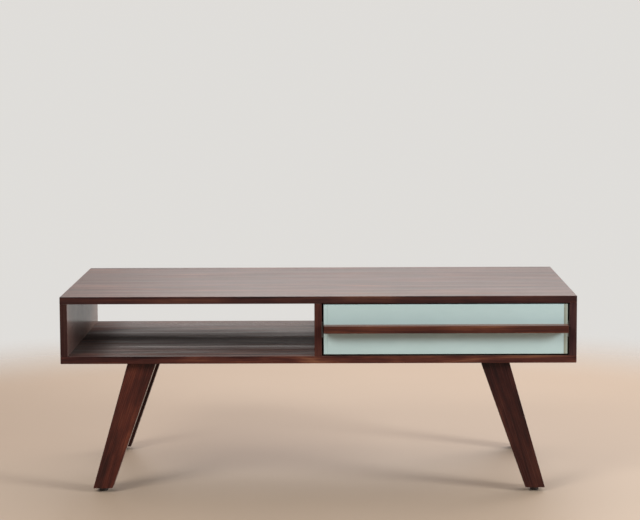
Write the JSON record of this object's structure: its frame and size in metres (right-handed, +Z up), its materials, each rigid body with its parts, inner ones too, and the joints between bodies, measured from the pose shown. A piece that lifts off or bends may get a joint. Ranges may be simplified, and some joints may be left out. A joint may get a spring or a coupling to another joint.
{
  "type": "coffee table",
  "caption": "Low rectangular coffee table with a bay open front to back, a pale painted drawer with a full-width wooden pull strip, and splayed tapered legs.",
  "frame": {"origin": "on the floor, under the middle of the table's outline with the pull", "axes": "+Z up, +X along the table's length, the drawer opens towards -Y"},
  "size_m": [1.2, 0.6284, 0.466],
  "materials": {
    "dark_wood": "dark satin lacquer",
    "painted_front": "satin paint",
    "front_lipping": "satin paint",
    "box_wood": "clear lacquer",
    "dowel_wood": "bare beech",
    "zinc_steel": "zinc plated",
    "bearing_steel": "polished",
    "brass": "turned",
    "glide_plastic": "moulded",
    "stop_rubber": "matt"
  },
  "bodies": {
    "carcass": {"top_board": "dark_wood", "bottom_board": "dark_wood", "left_side_panel": "dark_wood", "right_side_panel": "dark_wood", "divider_panel": "dark_wood", "drawer_bay_back": "dark_wood", "carcass_dowels": "dowel_wood", "front_left_leg": "dark_wood", "front_right_leg": "dark_wood", "rear_left_leg": "dark_wood", "rear_right_leg": "dark_wood", "leg_hanger_bolts": "zinc_steel", "leg_threaded_inserts": "brass", "leg_dowels": "dowel_wood", "front_left_glide": "glide_plastic", "front_right_glide": "glide_plastic", "rear_left_glide": "glide_plastic", "rear_right_glide": "glide_plastic", "glide_screws": "zinc_steel", "left_cabinet_rail": "zinc_steel", "right_cabinet_rail": "zinc_steel", "cabinet_rail_screws": "zinc_steel", "drawer_stop_blocks": "box_wood", "drawer_stop_pads": "stop_rubber"},
    "drawer": {"drawer_front": "painted_front", "drawer_front_left_lipping": "front_lipping", "drawer_front_right_lipping": "front_lipping", "drawer_pull": "dark_wood", "pull_screws": "zinc_steel", "drawer_inner_front": "box_wood", "drawer_left_side": "box_wood", "drawer_right_side": "box_wood", "drawer_back": "box_wood", "drawer_bottom": "box_wood", "drawer_corner_dowels": "dowel_wood", "front_fixing_screws": "zinc_steel", "drawer_bottom_screws": "zinc_steel", "left_drawer_rail": "zinc_steel", "right_drawer_rail": "zinc_steel", "drawer_rail_screws": "zinc_steel"},
    "left_cage": {"left_ball_cage": "zinc_steel", "left_slide_balls": "bearing_steel"},
    "right_cage": {"right_ball_cage": "zinc_steel", "right_slide_balls": "bearing_steel"}
  },
  "joints": [
    {"name": "drawer_slide", "type": "slide", "parent": "carcass", "child": "drawer", "axis": [0, -1, 0], "range_m": [0, 0.375]},
    {"name": "left_cage_slide", "type": "slide", "parent": "carcass", "child": "left_cage", "axis": [0, -1, 0], "range_m": [0, 0.1875]},
    {"name": "right_cage_slide", "type": "slide", "parent": "carcass", "child": "right_cage", "axis": [0, -1, 0], "range_m": [0, 0.1875]}
  ],
  "couplings": [
    {"joint": "left_cage_slide", "follows": "drawer_slide", "ratio": 0.5},
    {"joint": "right_cage_slide", "follows": "drawer_slide", "ratio": 0.5}
  ]
}
